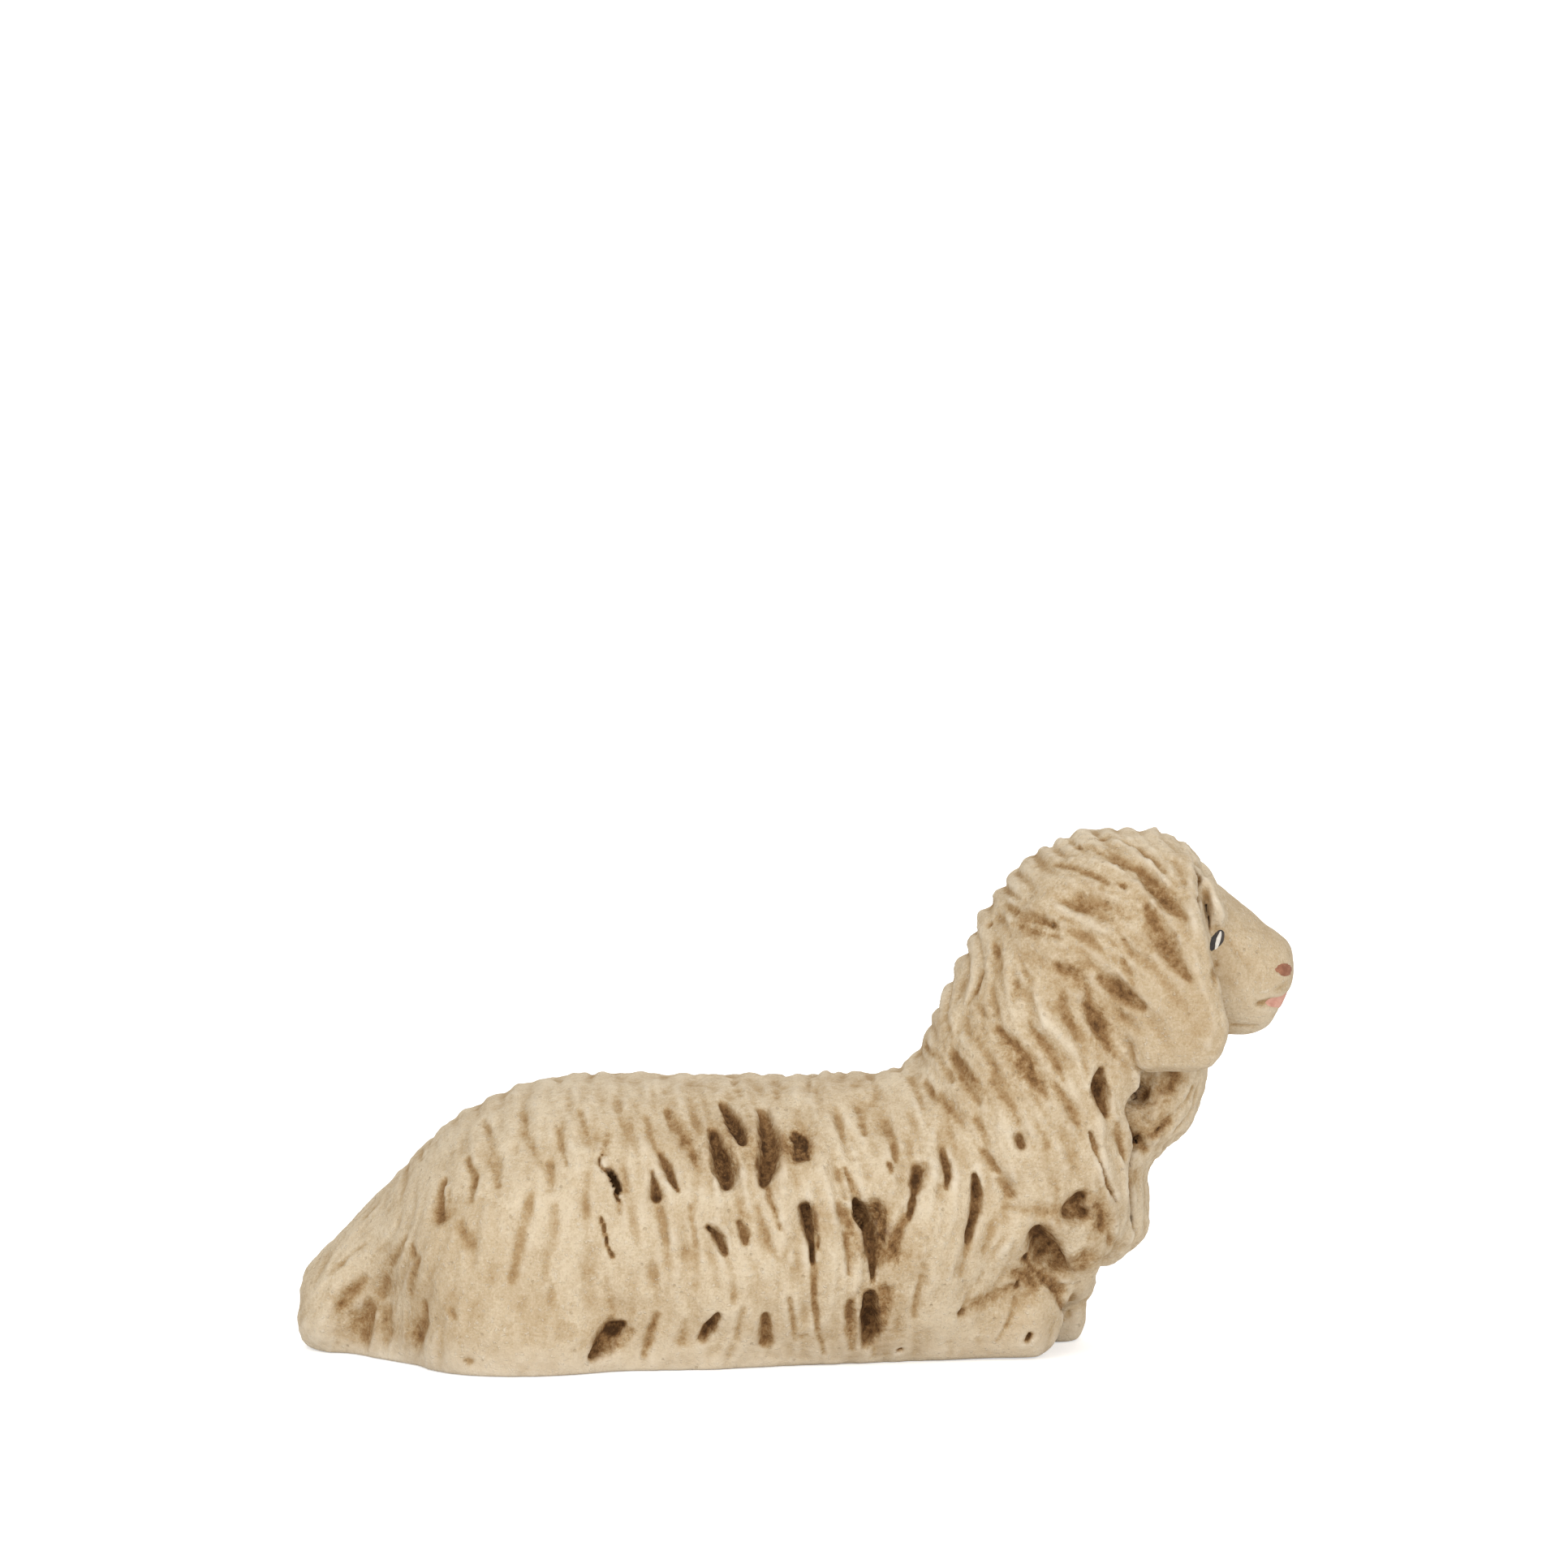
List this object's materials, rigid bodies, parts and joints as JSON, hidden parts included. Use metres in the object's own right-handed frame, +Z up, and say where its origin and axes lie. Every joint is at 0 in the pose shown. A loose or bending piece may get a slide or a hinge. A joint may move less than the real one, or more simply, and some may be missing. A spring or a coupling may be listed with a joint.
{
  "type": "sheep figurine",
  "caption": "Lying sheep figurine of moulded clay, head raised, with furrowed fleece, drooping ears and a flat base, hand-painted cream with a brown wash.",
  "frame": {"origin": "middle of the length and width, on the plane that the base rests on", "axes": "+X the way the sheep faces, +Y its left side, +Z up"},
  "size_m": [0.08, 0.03, 0.0418],
  "materials": {
    "painted_wool": "matte cream paint over clay, with a brown wash in the furrows",
    "painted_skin": "matte cream paint over clay, smooth",
    "eye_paint": "matte black brush paint",
    "glint_paint": "white brush paint",
    "nostril_paint": "matte red-brown brush paint",
    "lip_paint": "matte pink brush paint"
  },
  "bodies": {
    "root": {"trunk": "painted_wool", "neck": "painted_wool", "poll_fleece": "painted_wool", "head": "painted_skin", "breast_fleece": "painted_wool", "right_ear": "painted_skin", "left_ear": "painted_skin", "right_brow": "painted_wool", "left_brow": "painted_wool", "right_foreleg": "painted_skin", "left_foreleg": "painted_skin", "right_hind_leg": "painted_skin", "left_hind_leg": "painted_skin", "tail": "painted_wool", "right_eye": "eye_paint", "left_eye": "eye_paint", "right_eye_glint": "glint_paint", "left_eye_glint": "glint_paint", "right_nostril": "nostril_paint", "left_nostril": "nostril_paint", "mouth": "lip_paint"}
  },
  "joints": []
}
